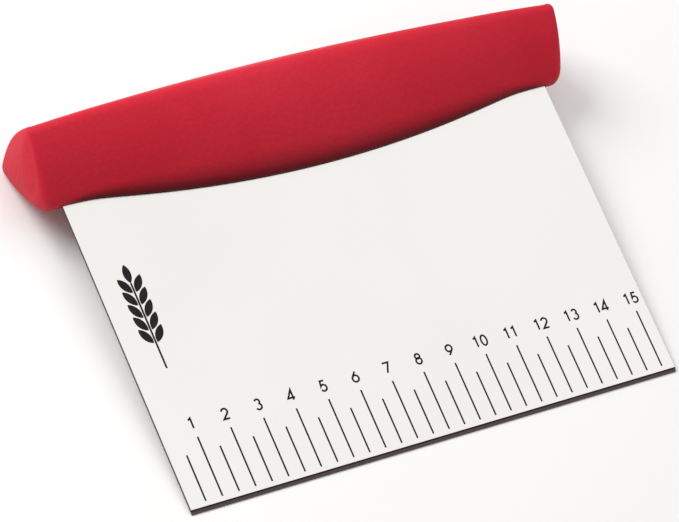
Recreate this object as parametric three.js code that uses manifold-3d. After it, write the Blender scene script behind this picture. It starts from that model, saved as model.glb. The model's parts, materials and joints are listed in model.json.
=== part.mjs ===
// A bench scraper: a flat steel blade with a soft handle along its top edge.
//
// Every piece is drawn as the tool stands on its cutting edge, in millimetres. X runs along the
// blade with 0 at its middle, Y from the ruled front face to the back with 0 halfway through the
// steel, and Z upwards from the line where the ground bevel starts. The last section lays the whole
// tool on its back, which is how it rests on a bench with its scale showing.
import * as THREE from 'three';
import { mergeVertices } from 'three/addons/utils/BufferGeometryUtils.js';
import Module from 'manifold-3d';

const wasm = await Module();
wasm.setup();

// Blade
const bladeWidth = 153.8;
const bladeThickness = 0.8;
const bevelHeight = 1.2;
const edgeLand = 0.3;
const exposedHeight = 78;
const shoulderHeight = 91;
const tangHeight = 104.5;
const tangWidth = 142;
const tangCorner = 4;

// Handle: its section at the ends, then how that section changes along it
const handleLength = 168.6;
const lipHeight = 89.2;
const lipHalfThickness = 2.2;
const lipRound = 1.9;
const sectionHeight = 21.9;
const flankBulge = 2.3;
const shoulderReach = 12.7;
const shoulderRise = 18.7;
const shoulderRound = 2.5;
const topReach = 4.3;
const lipSag = 6.5;
const lipSagHalf = 66.5;
const lipBlend = 0.14;
const crownArch = 3.9;
const bellyDepth = 1.3;
const endRound = 2.7;
const noseLift = 2.3;
const sideRoundShare = 0.7;

// Layers of the handle
const skin = 2.5;
const coreWall = 2.4;
const gap = 0.3;
const innerRound = 0.8;

// Rivets
const rivetPlaces = { outer_left: -66, inner_left: -22, inner_right: 22, outer_right: 66 };
const rivetHeight = 100;
const rivetHoleRadius = 2.4;
const shankRadius = 2;
const headRadius = 3.2;
const headThickness = 1.1;
const gripLength = 5.2;
const bossWidth = 11;

// Facets
const curveSegments = 4;
const handleSteps = 24;
const endCrowding = 0.86;
const roundFacets = 16;

const blockSize = 200;
const halfBlade = bladeThickness / 2;

function toSolid(geometry) {
  const bare = geometry.clone();
  bare.deleteAttribute('normal');
  bare.deleteAttribute('uv');
  const welded = mergeVertices(bare);
  return new wasm.Manifold(new wasm.Mesh({
    numProp: 3,
    vertProperties: new Float32Array(welded.attributes.position.array),
    triVerts: new Uint32Array(welded.index.array),
  }));
}

function toGeometry(solid) {
  const { vertProperties, triVerts } = solid.getMesh();
  const geometry = new THREE.BufferGeometry();
  geometry.setAttribute('position', new THREE.BufferAttribute(vertProperties, 3));
  geometry.setIndex(new THREE.BufferAttribute(triVerts, 1));
  geometry.computeVertexNormals();
  return geometry;
}

function blockSolid(low, high) {
  const size = new THREE.Vector3().subVectors(high, low);
  const geometry = new THREE.BoxGeometry(size.x, size.y, size.z);
  geometry.translate(...new THREE.Vector3().addVectors(low, high).multiplyScalar(0.5));
  return toSolid(geometry);
}

// ---- Blade -------------------------------------------------------------------------------------

// The exposed plate is one profile, seen from its end, run along the whole width of the blade.
function exposedPlate() {
  const profile = new THREE.Shape();
  profile.moveTo(-halfBlade, 0);
  profile.lineTo(halfBlade - edgeLand, -bevelHeight);
  profile.lineTo(halfBlade, -bevelHeight);
  profile.lineTo(halfBlade, exposedHeight);
  profile.lineTo(-halfBlade, exposedHeight);
  profile.closePath();
  const geometry = new THREE.ExtrudeGeometry(profile, { depth: bladeWidth, bevelEnabled: false });
  geometry.applyMatrix4(new THREE.Matrix4().set(
    0, 0, 1, -bladeWidth / 2,
    1, 0, 0, 0,
    0, 1, 0, 0,
    0, 0, 0, 1,
  ));
  return toSolid(geometry);
}

// The tang steps in where the handle hides it, and has a hole for each rivet.
function tang() {
  const half = bladeWidth / 2;
  const inner = tangWidth / 2;
  const outline = new THREE.Shape();
  outline.moveTo(-half, exposedHeight);
  outline.lineTo(half, exposedHeight);
  outline.lineTo(half, shoulderHeight);
  outline.lineTo(inner, shoulderHeight);
  outline.lineTo(inner, tangHeight - tangCorner);
  outline.quadraticCurveTo(inner, tangHeight, inner - tangCorner, tangHeight);
  outline.lineTo(tangCorner - inner, tangHeight);
  outline.quadraticCurveTo(-inner, tangHeight, -inner, tangHeight - tangCorner);
  outline.lineTo(-inner, shoulderHeight);
  outline.lineTo(-half, shoulderHeight);
  outline.closePath();
  for (const x of Object.values(rivetPlaces)) {
    const hole = new THREE.Path();
    hole.absarc(x, rivetHeight, rivetHoleRadius, 0, 2 * Math.PI, true);
    outline.holes.push(hole);
  }
  const geometry = new THREE.ExtrudeGeometry(outline, {
    depth: bladeThickness,
    curveSegments: roundFacets,
    bevelEnabled: false,
  });
  geometry.rotateX(Math.PI / 2);
  geometry.translate(0, halfBlade, 0);
  return toSolid(geometry);
}

// ---- Handle ------------------------------------------------------------------------------------

// The point at a distance from one corner on the way to another.
function partWay(from, to, distance) {
  return to.clone().sub(from).setLength(distance).add(from);
}

// The handle's section at its ends: a rounded triangle standing on its narrow lip. Its corners are
// lip, flank, shoulder and top, and every curve starts and ends on a line between two of them, so the
// outline has no kinks. Each inner layer is the same shape with its sides and top moved in by inset.
function handleSection(inset) {
  const lip = new THREE.Vector2(lipHalfThickness, 0);
  const shoulder = new THREE.Vector2(shoulderReach, shoulderRise);
  const top = new THREE.Vector2(topReach, sectionHeight);
  const side = shoulder.clone().sub(lip).normalize();
  const slope = top.clone().sub(shoulder).normalize();
  const sideNormal = new THREE.Vector2(-side.y, side.x);
  const slopeNormal = new THREE.Vector2(-slope.y, slope.x);
  const miter = sideNormal.clone().add(slopeNormal).divideScalar(1 + sideNormal.dot(slopeNormal));
  shoulder.addScaledVector(miter, inset);
  lip.addScaledVector(side, inset / side.x * side.y).addScaledVector(sideNormal, inset);
  top.y -= inset;
  const flank = lip.clone().lerp(shoulder, 0.5).addScaledVector(sideNormal, -flankBulge);

  const round = Math.max(shoulderRound - inset, innerRound);
  const lipEnd = partWay(lip, flank, Math.max(lipRound - inset, innerRound));
  const flankEnd = partWay(shoulder, flank, round);
  const shoulderEnd = partWay(shoulder, top, round);
  const lipStart = lip.x - lip.distanceTo(lipEnd);

  const outline = new THREE.Shape();
  outline.moveTo(0, lip.y);
  outline.lineTo(lipStart, lip.y);
  outline.quadraticCurveTo(lip.x, lip.y, lipEnd.x, lipEnd.y);
  outline.quadraticCurveTo(flank.x, flank.y, flankEnd.x, flankEnd.y);
  outline.quadraticCurveTo(shoulder.x, shoulder.y, shoulderEnd.x, shoulderEnd.y);
  outline.quadraticCurveTo(top.x, top.y, 0, top.y);
  outline.quadraticCurveTo(-top.x, top.y, -shoulderEnd.x, shoulderEnd.y);
  outline.quadraticCurveTo(-shoulder.x, shoulder.y, -flankEnd.x, flankEnd.y);
  outline.quadraticCurveTo(-flank.x, flank.y, -lipEnd.x, lipEnd.y);
  outline.quadraticCurveTo(-lip.x, lip.y, -lipStart, lip.y);
  outline.closePath();
  return outline;
}

// 1 in the middle of the lip's sag and 0 beyond its ends, where it blends into a straight line.
function sagShare(x) {
  const arc = 1 - (x / lipSagHalf) ** 2;
  return (arc + Math.hypot(arc, lipBlend)) / 2;
}

// Carries a point of the end section to its place at x: the lip sags and the crown arches towards
// the middle, the sides belly out there, and the last few millimetres round off.
function handlePoint(x, y, rise, end) {
  const sag = sagShare(x);
  const arch = 1 - (2 * x / handleLength) ** 2;
  const past = Math.max(Math.abs(x) - (end.half - end.round), 0) / end.round;
  const rounding = end.round * (1 - Math.sqrt(1 - Math.min(past, 1) ** 2));
  const height = rise / sectionHeight;
  const lipLift = noseLift * rounding - lipSag * sag;
  const crownLift = crownArch * arch - rounding;
  const belly = bellyDepth * sag * Math.sin(Math.PI * height);
  return new THREE.Vector3(
    x,
    y * (1 + (belly - sideRoundShare * rounding) / shoulderReach),
    lipHeight + rise + lipLift * (1 - height) + crownLift * height,
  );
}

// A closed body with the handle's shape, inset all round. Its stations crowd towards both ends.
function handleLayer(inset) {
  const end = { half: handleLength / 2 - inset, round: Math.max(endRound - inset, innerRound) };
  const geometry = new THREE.ExtrudeGeometry(handleSection(inset), {
    depth: 2,
    steps: handleSteps,
    curveSegments,
    bevelEnabled: false,
  });
  const points = geometry.attributes.position;
  for (let i = 0; i < points.count; i += 1) {
    const station = points.getZ(i) - 1;
    const x = end.half * (station + endCrowding * Math.sin(Math.PI * station) / Math.PI);
    points.setXYZ(i, ...handlePoint(x, points.getX(i), points.getY(i), end));
  }
  return toSolid(geometry);
}

// The room that the blade and its tang need inside the handle, with the gap all round.
function bladeRoom() {
  const steps = [[bladeWidth, shoulderHeight], [tangWidth, tangHeight]];
  const blocks = steps.map(([width, top]) => blockSolid(
    new THREE.Vector3(-width / 2 - gap, -halfBlade - gap, exposedHeight),
    new THREE.Vector3(width / 2 + gap, halfBlade + gap, top + gap),
  ));
  return blocks[0].add(blocks[1]);
}

// The soft skin is open only along the blade slot.
function gripSolid() {
  return handleLayer(0)
    .subtract(handleLayer(skin))
    .subtract(bladeRoom());
}

// ---- Rivets ------------------------------------------------------------------------------------

// A rivet turned about Y with a head at each end; clearance makes the larger shape of its hole.
function rivetGeometry(clearance) {
  const seat = gripLength / 2 - clearance;
  const tip = gripLength / 2 + headThickness + clearance;
  const head = headRadius + clearance;
  const shank = shankRadius + clearance;
  const profile = [
    [0, -tip], [head, -tip], [head, -seat], [shank, -seat],
    [shank, seat], [head, seat], [head, tip], [0, tip],
  ].map(([radius, y]) => new THREE.Vector2(radius, y));
  return new THREE.LatheGeometry(profile, roundFacets);
}

function rivetHoles() {
  const holes = Object.values(rivetPlaces).map((x) => {
    const geometry = rivetGeometry(gap);
    geometry.translate(x, 0, rivetHeight);
    return toSolid(geometry);
  });
  return holes.reduce((all, hole) => all.add(hole));
}

// ---- Core --------------------------------------------------------------------------------------

// The rigid core is hollow between the bosses that carry the rivets.
function coreSolid() {
  let hollow = handleLayer(skin + gap + coreWall);
  for (const x of Object.values(rivetPlaces)) {
    hollow = hollow.subtract(blockSolid(
      new THREE.Vector3(x - bossWidth / 2, -blockSize, 0),
      new THREE.Vector3(x + bossWidth / 2, blockSize, blockSize),
    ));
  }
  return handleLayer(skin + gap)
    .subtract(hollow)
    .subtract(bladeRoom())
    .subtract(rivetHoles());
}

// One half of the core: side is -1 for the front half and 1 for the rear half.
function coreHalf(core, side) {
  const near = side * gap / 2;
  const far = side * blockSize;
  return core.intersect(blockSolid(
    new THREE.Vector3(-blockSize, Math.min(near, far), 0),
    new THREE.Vector3(blockSize, Math.max(near, far), blockSize),
  ));
}

// ---- Materials ---------------------------------------------------------------------------------

const polishedSteel = new THREE.MeshStandardMaterial({ color: 0xe4e3e0, roughness: 0.25, metalness: 1 });
const softRed = new THREE.MeshStandardMaterial({ color: 0xbe2c3c, roughness: 0.6, metalness: 0 });
const rigidPlastic = new THREE.MeshStandardMaterial({ color: 0x8c1f2a, roughness: 0.5, metalness: 0 });
const rivetMetal = new THREE.MeshStandardMaterial({ color: 0xb9bcc0, roughness: 0.4, metalness: 1 });

// ---- Assembly ----------------------------------------------------------------------------------

const scraper = new THREE.Group();

function addPiece(name, geometry, material) {
  const mesh = new THREE.Mesh(geometry, material);
  mesh.name = name;
  scraper.add(mesh);
  return mesh;
}

addPiece('blade', toGeometry(exposedPlate().add(tang())), polishedSteel);
addPiece('grip', toGeometry(gripSolid()), softRed);

const core = coreSolid();
addPiece('core_front', toGeometry(coreHalf(core, -1)), rigidPlastic);
addPiece('core_rear', toGeometry(coreHalf(core, 1)), rigidPlastic);

for (const [place, x] of Object.entries(rivetPlaces)) {
  addPiece(`rivet_${place}`, rivetGeometry(0), rivetMetal).position.set(x, 0, rivetHeight);
}

// ---- Rest --------------------------------------------------------------------------------------

// The tool lies on its back. It touches the bench along the back of its cutting edge and along the
// handle's rear shoulder, so it tilts by the angle that brings both to the same height.
function restTilt(mesh) {
  const points = mesh.geometry.attributes.position;
  let tilt = -Math.PI / 2;
  for (let i = 0; i < points.count; i += 1) {
    const out = points.getY(i) - halfBlade;
    const up = points.getZ(i) + bevelHeight;
    tilt = Math.max(tilt, Math.atan2(out, up));
  }
  return tilt;
}

scraper.rotation.x = restTilt(scraper.getObjectByName('grip')) - Math.PI / 2;
scraper.updateMatrixWorld(true);

const box = new THREE.Box3().setFromObject(scraper, true);
const centre = box.getCenter(new THREE.Vector3());
scraper.position.set(-centre.x, -centre.y, -box.min.z);

export default scraper;
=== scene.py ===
# %% [markdown]
# # Bench scraper
#
# A bench scraper is a flat steel blade with a thick soft handle along its top edge. This notebook
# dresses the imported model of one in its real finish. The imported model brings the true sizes, and
# everything here is placed from it. We start by loading it and keeping the box that it fills, because
# the finished tool has to stay inside that box.

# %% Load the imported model
import json
import math

import bmesh
import bpy
from mathutils import Matrix, Quaternion, Vector


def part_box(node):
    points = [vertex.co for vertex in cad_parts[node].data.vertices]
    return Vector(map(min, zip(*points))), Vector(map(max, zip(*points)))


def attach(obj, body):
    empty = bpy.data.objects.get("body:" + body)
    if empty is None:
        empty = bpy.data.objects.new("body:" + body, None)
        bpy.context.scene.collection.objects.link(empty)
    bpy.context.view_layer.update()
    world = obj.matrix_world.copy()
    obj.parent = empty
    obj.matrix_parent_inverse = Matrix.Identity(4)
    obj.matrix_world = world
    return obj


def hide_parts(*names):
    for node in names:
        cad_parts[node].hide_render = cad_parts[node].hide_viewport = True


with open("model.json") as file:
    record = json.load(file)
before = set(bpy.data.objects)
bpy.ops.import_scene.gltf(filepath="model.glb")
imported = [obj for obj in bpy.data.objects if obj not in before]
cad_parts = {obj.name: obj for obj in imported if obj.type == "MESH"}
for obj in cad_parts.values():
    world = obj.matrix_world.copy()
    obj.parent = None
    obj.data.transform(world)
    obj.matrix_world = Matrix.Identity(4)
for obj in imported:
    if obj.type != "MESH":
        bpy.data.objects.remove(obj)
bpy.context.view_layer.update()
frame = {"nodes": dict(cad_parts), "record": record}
record = frame["record"]
MM = 0.001
print("nodes", sorted(frame["nodes"]))

# %% [markdown]
# ## Where the blade is
#
# The tool lies on its back with its cutting edge and the rear of its handle on the bench, so the blade
# slopes by a few degrees. It is easier to draw every piece as the tool stands upright: X along the
# blade, Y from the ruled face to the back, Z up from the line where the ground edge begins. The record
# says where the ruled face is and which way it faces, and that gives one matrix, `stand`, that carries
# an upright drawing to its place. It is applied to the mesh, so each object stays at the origin.

# %% The upright drawing frame
mounts = {mount["name"]: mount for mount in record["mounts"]}
MOUNT_HEIGHT = 30 * MM

face_out = Vector(mounts["ruled_face"]["axis"])
face_point = Vector(mounts["ruled_face"]["pos_m"])
back_point = Vector(mounts["back_face"]["pos_m"])
blade_up = face_out.cross(Vector((1, 0, 0)))
blade_thickness = (back_point - face_point).length
blade_foot = (face_point + back_point) / 2 - MOUNT_HEIGHT * blade_up
turn = Matrix((Vector((1, 0, 0)), -face_out, blade_up)).transposed()
stand = Matrix.Translation(blade_foot) @ turn.to_4x4()
tilt = math.asin(blade_up.z)

blade_low, blade_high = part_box("blade")
blade_width = blade_high.x - blade_low.x
grip_low, grip_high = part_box("grip")
handle_length = grip_high.x - grip_low.x
print("tilt", round(math.degrees(tilt), 2), "degrees; blade", round(blade_width / MM, 1),
      "by", round(blade_thickness / MM, 2), "mm; handle", round(handle_length / MM, 1), "mm")

# %% [markdown]
# ## Camera
#
# The tool is seen from above its left front corner through a long lens, from about a metre away, which
# keeps the perspective gentle. The camera is also rolled, so that the blade runs up to the right.

# %% Place the camera
LENS = 210
NEAREST = 0.05
FARTHEST = 20
AIM = Vector((-11.6 * MM, -5.9 * MM, 15 * MM))
VIEW_AZIMUTH = math.radians(-52.66)
VIEW_ELEVATION = math.radians(52.92)
VIEW_DISTANCE = 1.0546
VIEW_ROLL = math.radians(31.31)

towards_camera = Vector((
    math.sin(VIEW_AZIMUTH) * math.cos(VIEW_ELEVATION),
    -math.cos(VIEW_AZIMUTH) * math.cos(VIEW_ELEVATION),
    math.sin(VIEW_ELEVATION),
))
camera = bpy.data.objects.new("camera", bpy.data.cameras.new("camera"))
camera.data.lens = LENS
camera.data.clip_start = NEAREST
camera.data.clip_end = FARTHEST
camera.location = AIM + VIEW_DISTANCE * towards_camera
camera.rotation_mode = "QUATERNION"
level = (-towards_camera).to_track_quat("-Z", "Y")
camera.rotation_quaternion = level @ Quaternion((0, 0, 1), VIEW_ROLL)
bpy.context.collection.objects.link(camera)
bpy.context.scene.camera = camera
print("camera at", [round(value, 3) for value in camera.location])

# %% [markdown]
# ## From a drawing to a piece
#
# Every new piece ends in the same way: its doubles are merged, its faces are turned outwards, the
# drawing is carried to its place, and the mesh goes into an object that rides on the tool's one body.

# %% A helper that finishes a piece
DOUBLES_APART = 0.0005 * MM


def finish_piece(bm, name, smooth=True):
    bmesh.ops.remove_doubles(bm, verts=bm.verts, dist=DOUBLES_APART)
    bmesh.ops.recalc_face_normals(bm, faces=bm.faces)
    bmesh.ops.transform(bm, matrix=stand, verts=bm.verts)
    mesh = bpy.data.meshes.new(name)
    bm.to_mesh(mesh)
    bm.free()
    mesh.polygons.foreach_set("use_smooth", [smooth] * len(mesh.polygons))
    piece = bpy.data.objects.new(name, mesh)
    bpy.context.collection.objects.link(piece)
    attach(piece, "root")
    print(name, len(mesh.vertices), "vertices")
    return piece


# %% [markdown]
# ## The handle's section
#
# Cut through near its end, the handle is a rounded triangle that stands on a narrow lip, where the
# blade comes out. Its flanks are convex, its shoulders are round and its top is crowned. The outline
# hangs on four corners to a side: lip, flank, shoulder and top. A quadratic curve rounds each corner
# and starts and ends on the lines between corners, so neighbours share a tangent and no kink shows
# in the shading. The same corners, moved in by the thickness of the skin, draw the hollow.

# %% Section curves
LIP_HALF = 2.2 * MM
LIP_ROUND = 1.9 * MM
SECTION_HEIGHT = 21.9 * MM
FLANK_BULGE = 2.3 * MM
SHOULDER_REACH = 12.7 * MM
SHOULDER_RISE = 18.7 * MM
SHOULDER_ROUND = 2.5 * MM
TOP_REACH = 4.3 * MM
INNER_ROUND = 0.8 * MM


def curve_points(start, control, end, count):
    shares = [i / count for i in range(count)]
    return [(1 - t) ** 2 * start + 2 * t * (1 - t) * control + t * t * end for t in shares]


def part_way(start, end, distance):
    return start + distance * (end - start).normalized()


def section_outline(inset, count):
    lip = Vector((LIP_HALF, 0))
    shoulder = Vector((SHOULDER_REACH, SHOULDER_RISE))
    top = Vector((TOP_REACH, SECTION_HEIGHT))
    side = (shoulder - lip).normalized()
    slope = (top - shoulder).normalized()
    side_in = Vector((-side.y, side.x))
    slope_in = Vector((-slope.y, slope.x))
    shoulder += inset * (side_in + slope_in) / (1 + side_in.dot(slope_in))
    lip += inset * (side_in + side * side.y / side.x)
    top.y -= inset
    flank = (lip + shoulder) / 2 - FLANK_BULGE * side_in

    rounding = max(SHOULDER_ROUND - inset, INNER_ROUND)
    lip_end = part_way(lip, flank, max(LIP_ROUND - inset, INNER_ROUND))
    lip_start = Vector((lip.x - (lip_end - lip).length, lip.y))
    flank_end = part_way(shoulder, flank, rounding)
    shoulder_end = part_way(shoulder, top, rounding)
    crown = Vector((0, top.y))
    half = [Vector((0, lip.y))]
    half += curve_points(lip_start, lip, lip_end, count)
    half += curve_points(lip_end, flank, flank_end, 2 * count)
    half += curve_points(flank_end, shoulder, shoulder_end, count)
    half += curve_points(shoulder_end, top, crown, count)
    mirrored = [Vector((-point.x, point.y)) for point in reversed(half[1:])]
    return half + [crown] + mirrored


print("section points", len(section_outline(inset=0, count=8)))

# %% [markdown]
# ## The handle's length
#
# Along the blade the section changes: the lip sags in the middle, the top arches, the sides belly out,
# and the last few millimetres round off into the end. One function says where a point of the
# section goes at each station. The section is drawn once as a ring of edges and extruded from station
# to station, and each new ring is moved by that function. Stations crowd towards the ends, where the
# shape turns fastest. Each open end is closed by shrinking its ring in a few steps towards its middle,
# and the steps climb a little, because the end is a low dome inside a crisp rounded edge. The edge
# stops just short of a full quarter turn, by `ROUND_SPARE`, where the slope of the dome takes over.

# %% Loft the handle
LIP_HEIGHT = 89.2 * MM
LIP_SAG = 6.5 * MM
LIP_SAG_HALF = 66.5 * MM
LIP_BLEND = 0.14
CROWN_ARCH = 3.9 * MM
BELLY_DEPTH = 1.3 * MM
SKIN = 2.5 * MM
END_DOME = 1.0 * MM
END_ROUND = 1.3 * MM
ROUND_SPARE = 0.06 * MM
NOSE_RUN = 3.2 * MM
NOSE_RISE = 5.4 * MM
END_CROWDING = 0.94
CAP_RINGS = (0.95, 0.8, 0.6, 0.35)


def sag_share(x):
    arc = 1 - (x / LIP_SAG_HALF) ** 2
    return (arc + math.hypot(arc, LIP_BLEND)) / 2


def quarter_round(x, end_half, run):
    past = min(max(abs(x) - (end_half - run), 0) / run, 1)
    return 1 - math.sqrt(1 - past ** 2)


def handle_point(x, point, end_half):
    sag = sag_share(x)
    arch = 1 - (2 * x / handle_length) ** 2
    rounding = END_ROUND * quarter_round(x, end_half + ROUND_SPARE, END_ROUND)
    lip_lift = NOSE_RISE * quarter_round(x, end_half, NOSE_RUN) - LIP_SAG * sag
    crown_lift = CROWN_ARCH * arch - rounding
    height = point.y / SECTION_HEIGHT
    belly = BELLY_DEPTH * sag * math.sin(math.pi * height)
    return Vector((
        x,
        point.x * (1 + (belly - rounding) / SHOULDER_REACH),
        LIP_HEIGHT + point.y + lip_lift * (1 - height) + crown_lift * height,
    ))


def extrude_ring(bm, edges):
    grown = bmesh.ops.extrude_edge_only(bm, edges=edges)["geom"]
    verts = {item for item in grown if isinstance(item, bmesh.types.BMVert)}
    ring = [item for item in grown
            if isinstance(item, bmesh.types.BMEdge) and verts.issuperset(item.verts)]
    return ring, list(verts)


def close_end(bm, edges, dome):
    start = edges[0].verts[0].co.x
    last_share = 1
    for share in CAP_RINGS:
        edges, verts = extrude_ring(bm, edges)
        middle = sum((vert.co for vert in verts), Vector()) / len(verts)
        shrink = share / last_share
        bmesh.ops.scale(bm, vec=(1, shrink, shrink), space=Matrix.Translation(-middle), verts=verts)
        rise = dome * (1 - share ** 2) / (1 - CAP_RINGS[-1] ** 2)
        for vert in verts:
            vert.co.x = start + math.copysign(rise, start)
        last_share = share
    bmesh.ops.contextual_create(bm, geom=edges)


def handle_layer(inset, dome, count, stations):
    outline = section_outline(inset, count)
    end_half = handle_length / 2 - inset - dome
    shares = [2 * i / stations - 1 for i in range(stations + 1)]
    places = [end_half * (s + END_CROWDING * math.sin(math.pi * s) / math.pi) for s in shares]

    bm = bmesh.new()
    spot = bm.verts.layers.int.new("spot")
    ring = [bm.verts.new(handle_point(places[0], point, end_half)) for point in outline]
    for number, vert in enumerate(ring):
        vert[spot] = number
    first = [bm.edges.new((ring[i - 1], ring[i])) for i in range(len(ring))]
    last = first
    for x in places[1:]:
        last, verts = extrude_ring(bm, last)
        for vert in verts:
            vert.co = handle_point(x, outline[vert[spot]], end_half)
    close_end(bm, first, dome)
    close_end(bm, last, dome)
    bmesh.ops.recalc_face_normals(bm, faces=bm.faces)
    return bm


outer = handle_layer(inset=0, dome=END_DOME, count=10, stations=120)
print("outer surface", len(outer.faces), "faces")

# %% [markdown]
# ## Hollow and slot
#
# The real skin is moulded over a rigid core, so it is a hollow shell, about 2.5 mm thick, that is open
# only where the blade comes out. Cutting by hand would leave a tangle of faces around the slot. A
# Boolean modifier does it cleanly: the hollow and the blade's room are two cutters, taken away from
# the outer surface in turn, and the result is read back as a plain mesh.

# %% Cut the skin hollow
GAP = 0.3 * MM
ROOM_HEIGHT = 18 * MM


def draft_object(bm):
    mesh = bpy.data.meshes.new("draft")
    bm.to_mesh(mesh)
    bm.free()
    draft = bpy.data.objects.new("draft", mesh)
    bpy.context.collection.objects.link(draft)
    return draft


def modified(bm, kind, **settings):
    draft = draft_object(bm)
    step = draft.modifiers.new("step", kind)
    for setting, value in settings.items():
        setattr(step, setting, value)
    result = bmesh.new()
    result.from_object(draft, bpy.context.evaluated_depsgraph_get())
    bpy.data.objects.remove(draft)
    return result


def cut_away(bm, cutter_bm):
    cutter = draft_object(cutter_bm)
    result = modified(bm, "BOOLEAN", operation="DIFFERENCE", solver="EXACT", object=cutter)
    bpy.data.objects.remove(cutter)
    return result


def blade_room():
    bm = bmesh.new()
    bmesh.ops.create_cube(bm, size=1)
    size = (blade_width + 2 * GAP, blade_thickness + 2 * GAP, ROOM_HEIGHT)
    bmesh.ops.scale(bm, vec=size, verts=bm.verts)
    bmesh.ops.translate(bm, vec=(0, 0, LIP_HEIGHT - LIP_SAG), verts=bm.verts)
    return bm


shell = cut_away(outer, handle_layer(inset=SKIN, dome=0, count=6, stations=48))
shell = cut_away(shell, blade_room())

# %% [markdown]
# ## Painted shade by the blade
#
# The red is painted darker in the narrow corner where the skin meets the steel, as painted shade for
# the shade that falls in that corner. The painted shade follows the lip, is widest in the middle where
# the lip sags most, and ends with the blade. A plain coordinate can't describe that, so each vertex is
# given its own share of it as an attribute of the mesh, for the finish to read later.

# %% Mark the corner by the blade
PAINTED_SHADE_REACH = 6.5 * MM
PAINTED_SHADE_FADE = 5 * MM
PAINTED_SHADE_FALL = 1.5

# Painted shade: each vertex gets its share of the darkening that stands in for the shade in the corner
# by the blade.
joint_shade = shell.verts.layers.float.new("joint_painted_shade")
for vert in shell.verts:
    sag = sag_share(vert.co.x)
    above_lip = vert.co.z - LIP_HEIGHT + LIP_SAG * sag
    closeness = 1 - above_lip / (PAINTED_SHADE_REACH * math.sqrt(sag))
    inboard = (blade_width / 2 - abs(vert.co.x)) / PAINTED_SHADE_FADE
    vert[joint_shade] = min(max(closeness, 0), 1) ** PAINTED_SHADE_FALL * min(max(inboard, 0), 1)
soft_grip = finish_piece(shell, "soft_grip")
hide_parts("grip")

# %% [markdown]
# ## Etched marks
#
# The scale is etched into the steel by a laser and comes out black. A mark has no height that a finger
# could feel, so each one is a stroke of constant width, a hundredth of a millimetre proud of the face.
# A stroke starts as a path of edges on the face. It is extruded through the face into a ribbon that
# stands on edge, and a Solidify modifier gives the ribbon the width of the stroke, with clean corners.

# %% Strokes on the ruled face
MARK_PROUD = 0.012 * MM
MARK_DEEP = 0.01 * MM
FACE = -blade_thickness / 2


def add_path(bm, points, closed=False):
    verts = [bm.verts.new((x, FACE + MARK_DEEP, z)) for x, z in points]
    edges = [bm.edges.new(pair) for pair in zip(verts, verts[1:])]
    if closed:
        edges.append(bm.edges.new((verts[-1], verts[0])))
    grown = bmesh.ops.extrude_edge_only(bm, edges=edges)["geom"]
    raised = [item for item in grown if isinstance(item, bmesh.types.BMVert)]
    bmesh.ops.translate(bm, vec=(0, -MARK_DEEP - MARK_PROUD, 0), verts=raised)


def stroked(bm, width):
    return modified(bm, "SOLIDIFY", thickness=width, offset=0, use_even_offset=True)


# %% [markdown]
# ## The centimetre scale
#
# The scale counts from the left edge of the blade: a short tick each half centimetre and a long one
# each whole centimetre, all starting just above the ground edge.

# %% Ticks
HALF_CM = 5 * MM
LAST_CM = 15
TICK_WIDTH = 0.5 * MM
TICK_START = 1.3 * MM
SHORT_TICK_END = 14.4 * MM
LONG_TICK_END = 18.4 * MM
scale_zero = -blade_width / 2

ticks = bmesh.new()
for count in range(1, 2 * LAST_CM + 1):
    x = scale_zero + count * HALF_CM
    end = LONG_TICK_END if count % 2 == 0 else SHORT_TICK_END
    add_path(ticks, [(x, TICK_START), (x, end)])
scale_ticks = finish_piece(stroked(ticks, TICK_WIDTH), "scale_ticks", smooth=False)

# %% [markdown]
# ## Numerals
#
# The numerals are plain geometric ones, built from straight strokes and parts of circles, so each can
# be written down as a few paths in its own small drawing: X from its middle, Z from its foot. Sizes are
# shares of the height and of the bowl's radius, and an arc runs between two angles in degrees. A type
# face could be converted to a mesh instead, but a drawn stroke keeps one even width like the ticks.

# %% Numeral paths
TALL = 2.92 * MM
BOWL = 0.86 * MM
SMALL_BOWL = 0.82 * BOWL
ARC_STEPS = 20


def arc(x, z, radius, start, end):
    angles = [math.radians(start + (end - start) * i / ARC_STEPS) for i in range(ARC_STEPS + 1)]
    return [(x + radius * math.cos(a), z + radius * math.sin(a)) for a in angles]


def oval(x, z, width, height):
    angles = [2 * math.pi * i / (2 * ARC_STEPS) for i in range(2 * ARC_STEPS)]
    return [(x + width * math.cos(a), z + height * math.sin(a)) for a in angles]


def six():
    bowl = 1.1 * BOWL
    stem = [(0.5 * BOWL, TALL)]
    return [(stem + arc(0, bowl, bowl, 148, 508), False)]


def turned(paths):
    return [([(-x, TALL - z) for x, z in points], closed) for points, closed in paths]


NUMERALS = {
    "0": [(oval(0, TALL / 2, BOWL, TALL / 2), True)],
    "1": [([(-0.85 * BOWL, TALL - 0.55 * BOWL), (0, TALL), (0, 0)], False)],
    "2": [(arc(0, TALL - BOWL, BOWL, 165, -35) + [(-BOWL, 0), (1.05 * BOWL, 0)], False)],
    "3": [(arc(0, TALL - SMALL_BOWL, SMALL_BOWL, 155, -75), False),
          (arc(0, BOWL, BOWL, 75, -155), False)],
    "4": [([(0.5 * BOWL, 0), (0.5 * BOWL, TALL),
            (-1.25 * BOWL, 0.8 * BOWL), (1.2 * BOWL, 0.8 * BOWL)], False)],
    "5": [([(0.85 * BOWL, TALL), (-0.5 * BOWL, TALL), (-0.72 * BOWL, 0.52 * TALL)]
           + arc(0, 1.05 * BOWL, 1.05 * BOWL, 125, -150), False)],
    "6": six(),
    "7": [([(-1.05 * BOWL, TALL), (1.05 * BOWL, TALL), (-0.35 * BOWL, 0)], False)],
    "8": [(oval(0, TALL - SMALL_BOWL, SMALL_BOWL, SMALL_BOWL), True),
          (oval(0, BOWL, BOWL, BOWL), True)],
    "9": turned(six()),
}

# %% Write the numerals above their ticks
NUMERAL_FOOT = 20.85 * MM
NUMERAL_WIDTH = 0.54 * MM
DIGIT_PITCH = 2.35 * MM

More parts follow.
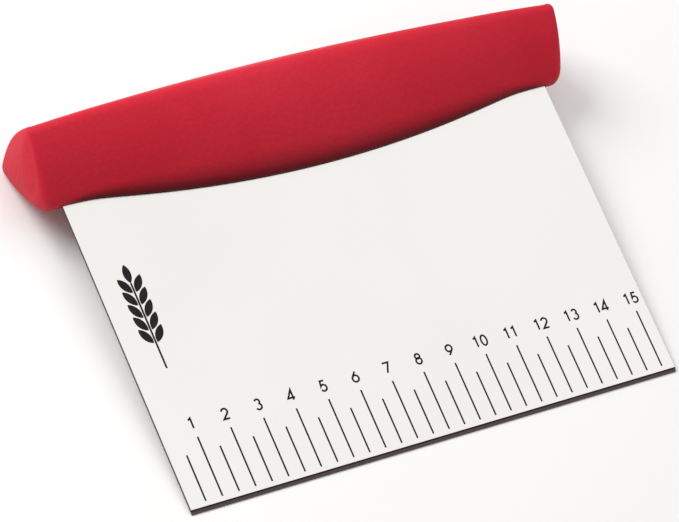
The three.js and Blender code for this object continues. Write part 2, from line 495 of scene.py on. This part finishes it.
numerals = bmesh.new()
for count in range(1, LAST_CM + 1):
    digits = str(count)
    for position, digit in enumerate(digits):
        middle = scale_zero + 2 * count * HALF_CM + (position - (len(digits) - 1) / 2) * DIGIT_PITCH
        for points, closed in NUMERALS[digit]:
            add_path(numerals, [(middle + x, NUMERAL_FOOT + z) for x, z in points], closed)
scale_numerals = finish_piece(
    stroked(numerals, NUMERAL_WIDTH), "scale_numerals", smooth=False)

# %% [markdown]
# ## The ear of wheat
#
# Makers etch a mark of their own beside the left edge of the blade. This one carries a plain ear of
# wheat instead, a sign that belongs to any bakery. It is a stalk, which is a stroke like the others,
# and pairs of grains, each a circle drawn out to a point at both ends and raised to the same height.

# %% Draw the ear
EAR_X = scale_zero + 9.6 * MM
EAR_FOOT = 38.5 * MM
EAR_TOP = 69 * MM
STALK_WIDTH = 0.55 * MM
GRAIN_LENGTH = 5.4 * MM
GRAIN_WIDTH = 2.3 * MM
GRAIN_PITCH = 3.7 * MM
GRAIN_PAIRS = 5
GRAIN_TAPER = 0.35
TOP_GRAIN_GAP = 0.75 * GRAIN_PITCH
GRAIN_LEAN = math.radians(32)
GRAIN_SIDES = 28


def add_grain(bm, x, z, lean):
    made = bmesh.ops.create_circle(bm, cap_ends=True, segments=GRAIN_SIDES, radius=1)["verts"]
    for vert in made:
        across, along = vert.co.x, vert.co.y
        half_width = (1 - along * along) ** GRAIN_TAPER * GRAIN_WIDTH / 2
        vert.co = (across * half_width, FACE + MARK_DEEP, (along + 1) * GRAIN_LENGTH / 2)
    faces = list({face for vert in made for face in vert.link_faces})
    bmesh.ops.rotate(bm, cent=(0, 0, 0), matrix=Matrix.Rotation(lean, 3, "Y"), verts=made)
    bmesh.ops.translate(bm, vec=(x, 0, z), verts=made)
    grown = bmesh.ops.extrude_face_region(bm, geom=faces, use_keep_orig=True)["geom"]
    raised = [item for item in grown if isinstance(item, bmesh.types.BMVert)]
    bmesh.ops.translate(bm, vec=(0, -MARK_DEEP - MARK_PROUD, 0), verts=raised)


stalk = bmesh.new()
add_path(stalk, [(EAR_X, EAR_FOOT), (EAR_X, EAR_TOP - GRAIN_LENGTH)])
ear = stroked(stalk, STALK_WIDTH)
add_grain(ear, EAR_X, EAR_TOP - GRAIN_LENGTH, 0)
for pair in range(GRAIN_PAIRS):
    root = EAR_TOP - GRAIN_LENGTH - TOP_GRAIN_GAP - pair * GRAIN_PITCH
    for side in (-1, 1):
        add_grain(ear, EAR_X + side * STALK_WIDTH, root, side * GRAIN_LEAN)
wheat_ear = finish_piece(ear, "wheat_ear", smooth=False)

# %% [markdown]
# # Finishes
#
# Every finish is made of nodes, so it has grain at any distance. Patterns read Object coordinates,
# which are the tool's own metres. First comes a small helper that adds a node and fills its sockets,
# where a value may be a number or another node's output. A Mix node has sockets for every kind of
# data, so the three that it uses for colours are found by their numbers.

# %% Node helpers
MIX_SHARE, MIX_FIRST, MIX_SECOND = 0, 6, 7
VALUE, VECTOR = "NodeSocketFloat", "NodeSocketVector"


def fill_socket(tree, socket, value):
    if isinstance(value, bpy.types.NodeSocket):
        tree.links.new(value, socket)
    else:
        socket.default_value = value


def add_node(tree, kind, settings=None, **sockets):
    node = tree.nodes.new(kind)
    for setting, value in (settings or {}).items():
        setattr(node, setting, value)
    for name, value in sockets.items():
        fill_socket(tree, node.inputs[name.replace("_", " ")], value)
    return node


def combine(tree, kind, operation, first, second):
    node = add_node(tree, kind, {"operation": operation})
    fill_socket(tree, node.inputs[0], first)
    fill_socket(tree, node.inputs[1], second)
    return node.outputs[0]


def reckon(tree, operation, first, second):
    return combine(tree, "ShaderNodeMath", operation, first, second)


def remap(tree, value, low, high):
    node = add_node(tree, "ShaderNodeMapRange", Value=value, To_Min=low, To_Max=high)
    return node.outputs["Result"]


def blend_colours(tree, share, first, second):
    node = add_node(tree, "ShaderNodeMix", {"data_type": "RGBA"})
    for socket, value in ((MIX_SHARE, share), (MIX_FIRST, first), (MIX_SECOND, second)):
        fill_socket(tree, node.inputs[socket], value)
    return node.outputs[2]


def new_group(name, inputs, output):
    tree = bpy.data.node_groups.new(name, "ShaderNodeTree")
    for label, kind in inputs:
        tree.interface.new_socket(label, in_out="INPUT", socket_type=kind)
    tree.interface.new_socket(output, in_out="OUTPUT", socket_type=VALUE)
    given = tree.nodes.new("NodeGroupInput").outputs
    result = tree.nodes.new("NodeGroupOutput").inputs[output]
    return tree, given, result


def use_group(tree, group, **sockets):
    return add_node(tree, "ShaderNodeGroup", {"node_tree": group}, **sockets).outputs[0]


# %% [markdown]
# ## Shared effects
#
# Three effects turn up in more than one finish, so each is a node group with named inputs. Moulded
# grain is the fine pebbled texture of a spark-eroded mould. Brushing is noise drawn out along one
# direction. Handling is the large, soft clouding that any surface gets from being held and wiped. Its
# noise stays near the middle of its range, so it is stretched to reach from 0 to 1.

# %% Moulded grain
moulded_grain, given, result = new_group(
    "moulded_grain", [("Vector", VECTOR), ("Scale", VALUE)], "Height")
pebbles = add_node(moulded_grain, "ShaderNodeTexVoronoi", {"feature": "SMOOTH_F1"},
                   Vector=given["Vector"], Scale=given["Scale"])
roughened = add_node(moulded_grain, "ShaderNodeTexNoise",
                     Vector=given["Vector"], Scale=given["Scale"], Detail=3.0, Roughness=0.6)
moulded_grain.links.new(
    reckon(moulded_grain, "ADD", pebbles.outputs["Distance"], roughened.outputs["Fac"]), result)

# %% Brushing
brushing, given, result = new_group("brushing", [("Vector", VECTOR), ("Stretch", VECTOR)], "Height")
drawn_out = combine(brushing, "ShaderNodeVectorMath", "MULTIPLY", given["Vector"], given["Stretch"])
lines = add_node(brushing, "ShaderNodeTexNoise",
                 Vector=drawn_out, Scale=1.0, Detail=4.0, Roughness=0.65)
brushing.links.new(lines.outputs["Fac"], result)

# %% Handling
handling, given, result = new_group("handling", [("Vector", VECTOR), ("Scale", VALUE)], "Mask")
clouds = add_node(handling, "ShaderNodeTexNoise", Vector=given["Vector"], Scale=given["Scale"],
                  Detail=2.0, Roughness=0.5, Distortion=0.6)
handling.links.new(remap(handling, clouds.outputs["Fac"], low=-0.6, high=1.6), result)
print("node groups", [group.name for group in bpy.data.node_groups])


# %% [markdown]
# ## A finish from nodes
#
# `new_finish` makes the material and hands back its tree, its Principled shader and the coordinates.
# Numbers that are the same all over the surface go straight into the shader.

# %% Start a finish
def new_finish(name, **constants):
    material = bpy.data.materials.new(name)
    material.use_nodes = True
    tree = material.node_tree
    shader = tree.nodes["Principled BSDF"]
    for socket, value in constants.items():
        shader.inputs[socket.replace("_", " ")].default_value = value
    place = add_node(tree, "ShaderNodeTexCoord").outputs["Object"]
    return material, tree, shader, place


def wire_bump(tree, shader, height, strength, depth):
    bump = add_node(tree, "ShaderNodeBump", Height=height, Strength=strength, Distance=depth)
    tree.links.new(bump.outputs["Normal"], shader.inputs["Normal"])


def give(material, *pieces):
    for piece in pieces:
        piece.data.materials.clear()
        piece.data.materials.append(material)


# %% [markdown]
# ## Soft red grip
#
# The skin is a thermoplastic rubber, matt and slightly velvety. Its red is even, a touch paler where
# hands have polished it, and the mould has left a fine grain that shows best on the two ends. In the
# corner by the blade a much darker red is painted in, as painted shade.

# %% Soft red grip
GRIP_RED = (0.60, 0.012, 0.031, 1)
GRIP_RED_WORN = (0.66, 0.020, 0.045, 1)
GRIP_RED_GRAIN = (0.49, 0.009, 0.025, 1)
# Painted shade: the near-black red painted into the corner by the blade, and how much of it is laid on.
PAINTED_SHADE_RED = (0.05, 0.0015, 0.003, 1)
PAINTED_SHADE_SHARE = 0.85

grip_finish, tree, shader, place = new_finish(
    "soft_grip_red", Specular_IOR_Level=0.15, Sheen_Weight=0.03, Sheen_Roughness=0.5)
held = use_group(tree, handling, Vector=place, Scale=38.0)
tree.links.new(remap(tree, held, low=0.62, high=0.52), shader.inputs["Roughness"])
grain = use_group(tree, moulded_grain, Vector=place, Scale=900.0)
red = blend_colours(tree, held, GRIP_RED, GRIP_RED_WORN)
red = blend_colours(tree, remap(tree, grain, low=0, high=0.5), red, GRIP_RED_GRAIN)
# The painted shade by the blade is read from the mesh and darkens the red there.
joint_shade_share = add_node(tree, "ShaderNodeAttribute", {"attribute_name": "joint_painted_shade"}).outputs["Fac"]
red = blend_colours(tree, remap(tree, joint_shade_share, low=0, high=PAINTED_SHADE_SHARE), red, PAINTED_SHADE_RED)
tree.links.new(red, shader.inputs["Base Color"])
wire_bump(tree, shader, grain, strength=0.6, depth=0.09 * MM)
give(grip_finish, soft_grip)

# %% [markdown]
# ## Steel blade
#
# The plate is smooth rolled stainless with the faintest brushing along its length, and looks almost
# white where it mirrors a bright room. The ground edge is another surface, coarse and dull from the
# wheel; its dark brownish colour is partly that dull grind and partly a painted dark reflection. A
# near-black painted shade runs along the corner where the grinding starts, and the same near-black
# marks the streaks of the wheel. The two short sides are dark where the plate was sheared. The finish
# turns the coordinates upright. Height then tells plate, corner and ground edge apart, and the
# distance from the middle finds the sheared sides.

# %% Steel blade
PLATE = (0.72, 0.71, 0.70, 1)
PLATE_CLOUDED = (0.70, 0.685, 0.675, 1)
# The ground edge's dark brown is partly its dull grind and partly painted dark reflection; the
# near-black below it is painted shade for the corner where the grinding starts, and it also colours the
# wheel's streaks.
GROUND_DULL_AND_REFLECTION = (0.14, 0.09, 0.084, 1)
GROUND_SHADE_AND_MARKS = (0.006, 0.004, 0.004, 1)
SHEARED = (0.09, 0.088, 0.085, 1)
CORNER_DEPTH = 0.45 * MM
GRIND_MARGIN = 0.02 * MM
SHEARED_DEPTH = 0.03 * MM
PLATE_ROUGHNESS = 0.22
GROUND_ROUGHNESS = 0.55
PLATE_METALLIC = 1.0
GROUND_METALLIC = 0.3

blade_finish, tree, shader, place = new_finish("blade_steel")
upright = add_node(tree, "ShaderNodeMapping", {"vector_type": "TEXTURE"}, Vector=place,
                   Location=blade_foot, Rotation=turn.to_euler()).outputs["Vector"]
along = add_node(tree, "ShaderNodeSeparateXYZ", Vector=upright).outputs
off_middle = add_node(
    tree, "ShaderNodeMath", {"operation": "ABSOLUTE"}, Value=along["X"]).outputs[0]
above_grind = reckon(tree, "GREATER_THAN", along["Z"], -GRIND_MARGIN)
under_corner = reckon(tree, "LESS_THAN", along["Z"], -CORNER_DEPTH)
off_sides = reckon(tree, "LESS_THAN", off_middle, blade_width / 2 - SHEARED_DEPTH)
on_plate = reckon(tree, "MULTIPLY", above_grind, off_sides)

rolling = use_group(tree, brushing, Vector=upright, Stretch=(40, 2500, 2500))
clouding = use_group(tree, handling, Vector=place, Scale=16.0)
wheel_marks = use_group(tree, brushing, Vector=upright, Stretch=(1600, 200, 200))
plate_colour = blend_colours(tree, clouding, PLATE, PLATE_CLOUDED)
# The band at the top of the ground edge gets the near-black painted shade.
ground_colour = blend_colours(tree, under_corner, GROUND_SHADE_AND_MARKS, GROUND_DULL_AND_REFLECTION)
edge_colour = blend_colours(tree, above_grind, ground_colour, SHEARED)
wheel_share = remap(tree, wheel_marks, low=0, high=0.6)
# The wheel's streaks darken the ground edge with the same near-black.
edge_marked = blend_colours(tree, wheel_share, edge_colour, GROUND_SHADE_AND_MARKS)
steel_colour = blend_colours(tree, on_plate, edge_marked, plate_colour)
tree.links.new(steel_colour, shader.inputs["Base Color"])
tree.links.new(remap(tree, on_plate, GROUND_ROUGHNESS, PLATE_ROUGHNESS), shader.inputs["Roughness"])
tree.links.new(remap(tree, on_plate, GROUND_METALLIC, PLATE_METALLIC), shader.inputs["Metallic"])
wire_bump(tree, shader, rolling, strength=0.25, depth=0.01 * MM)
give(blade_finish, frame["nodes"]["blade"])

# %% [markdown]
# ## Etched black
#
# A laser leaves a dark oxide with soft borders, not a paint. It is nearly black and a little shiny,
# and slightly uneven along each mark where the beam overlapped itself.

# %% Etched black
ETCH = (0.006, 0.006, 0.006, 1)
ETCH_THIN = (0.016, 0.015, 0.015, 1)

etch_finish, tree, shader, place = new_finish("etched_black", Specular_IOR_Level=0.12)
overlap = use_group(tree, handling, Vector=place, Scale=420.0)
tree.links.new(blend_colours(tree, overlap, ETCH, ETCH_THIN), shader.inputs["Base Color"])
tree.links.new(remap(tree, overlap, low=0.45, high=0.6), shader.inputs["Roughness"])
give(etch_finish, scale_ticks, scale_numerals, wheat_ear)

# %% [markdown]
# ## Hidden pieces
#
# The core halves are a rigid plastic in a deeper red than the skin, so that a thin spot never shows,
# and have the dull grain of their mould. The rivets are drawn aluminium with fine lines along them.
# Nobody sees either until the grip is cut open, but a finished part shouldn't fall short there.

# %% Core plastic
CORE_RED = (0.20, 0.010, 0.018, 1)
CORE_RED_PALE = (0.24, 0.016, 0.026, 1)

core_finish, tree, shader, place = new_finish("core_plastic")
mottle = use_group(tree, handling, Vector=place, Scale=90.0)
tree.links.new(blend_colours(tree, mottle, CORE_RED, CORE_RED_PALE), shader.inputs["Base Color"])
tree.links.new(remap(tree, mottle, low=0.55, high=0.7), shader.inputs["Roughness"])
fine_grain = use_group(tree, moulded_grain, Vector=place, Scale=1500.0)
wire_bump(tree, shader, fine_grain, strength=0.4, depth=0.03 * MM)
give(core_finish, frame["nodes"]["core_front"], frame["nodes"]["core_rear"])

# %% Rivet metal
RIVET_BRIGHT = (0.55, 0.56, 0.57, 1)
RIVET_DULL = (0.42, 0.43, 0.44, 1)

rivet_finish, tree, shader, place = new_finish("rivet_metal", Metallic=1.0)
tarnish = use_group(tree, handling, Vector=place, Scale=300.0)
tree.links.new(blend_colours(tree, tarnish, RIVET_BRIGHT, RIVET_DULL), shader.inputs["Base Color"])
tree.links.new(remap(tree, tarnish, low=0.28, high=0.42), shader.inputs["Roughness"])
drawing_lines = use_group(tree, brushing, Vector=place, Stretch=(900, 900, 5000))
wire_bump(tree, shader, drawing_lines, strength=0.3, depth=0.02 * MM)
rivet_names = [name for name in sorted(frame["nodes"]) if name.startswith("rivet")]
give(rivet_finish, *[frame["nodes"][name] for name in rivet_names])

# %% [markdown]
# # The stage
#
# The tool lies on a wide, plain, nearly white bench.

# %% Floor
FLOOR_HALF = 2.0
FLOOR_PALE = (0.90, 0.90, 0.90, 1)
FLOOR_PALER = (0.92, 0.92, 0.92, 1)

floor_bm = bmesh.new()
bmesh.ops.create_grid(floor_bm, x_segments=1, y_segments=1, size=FLOOR_HALF)
floor_mesh = bpy.data.meshes.new("floor")
floor_bm.to_mesh(floor_mesh)
floor_bm.free()
floor = bpy.data.objects.new("floor", floor_mesh)
bpy.context.collection.objects.link(floor)

floor_finish, tree, shader, place = new_finish("pale_floor", Specular_IOR_Level=0.2, Roughness=0.9)
dust = use_group(tree, handling, Vector=place, Scale=3.0)
tree.links.new(blend_colours(tree, dust, FLOOR_PALE, FLOOR_PALER), shader.inputs["Base Color"])
give(floor_finish, floor)

# %% [markdown]
# ## Light
#
# A steel plate shows what it mirrors, so the light for it is chosen by reflection: a very large soft
# card stands where the camera's line of sight bounces off the plate. A smaller softbox from behind
# and to the left gives the grip its bright top edge, and leaves the side under the belly in shade.

# %% Softboxes
SUBJECT = Vector((0, 0, 10 * MM))


def softbox(name, direction, distance, size, watts, colour):
    lamp = bpy.data.lights.new(name, "AREA")
    lamp.shape = "RECTANGLE"
    lamp.size = size[0]
    lamp.size_y = size[1]
    lamp.energy = watts
    lamp.color = colour
    box = bpy.data.objects.new(name, lamp)
    box.location = SUBJECT + distance * Vector(direction).normalized()
    box.rotation_mode = "QUATERNION"
    box.rotation_quaternion = Vector(direction).to_track_quat("Z", "Y")
    bpy.context.collection.objects.link(box)


mirrored = face_out * 2 * face_out.dot(towards_camera) - towards_camera
softbox("plate_card", mirrored,
        distance=1.3, size=(1.8, 1.8), watts=8.7, colour=(1, 0.99, 0.975))
softbox("key", direction=(-0.5, 0.6, 0.6),
        distance=0.8, size=(0.5, 0.4), watts=5.0, colour=(1, 0.985, 0.97))
print("the plate mirrors", [round(value, 2) for value in mirrored])

# %% [markdown]
# ## World and colour
#
# An even white world fills the shadows, and it is what the steel mirrors when it is seen from any other
# side. The Standard view keeps the colours of the finishes as they were chosen.

# %% World and colour
WORLD_LIGHT = 0.42
world = bpy.data.worlds.new("studio")
bpy.context.scene.world = world
world.use_nodes = True
world.node_tree.nodes["Background"].inputs["Color"].default_value = (1, 1, 1, 1)
world.node_tree.nodes["Background"].inputs["Strength"].default_value = WORLD_LIGHT
bpy.context.scene.view_settings.view_transform = "Standard"
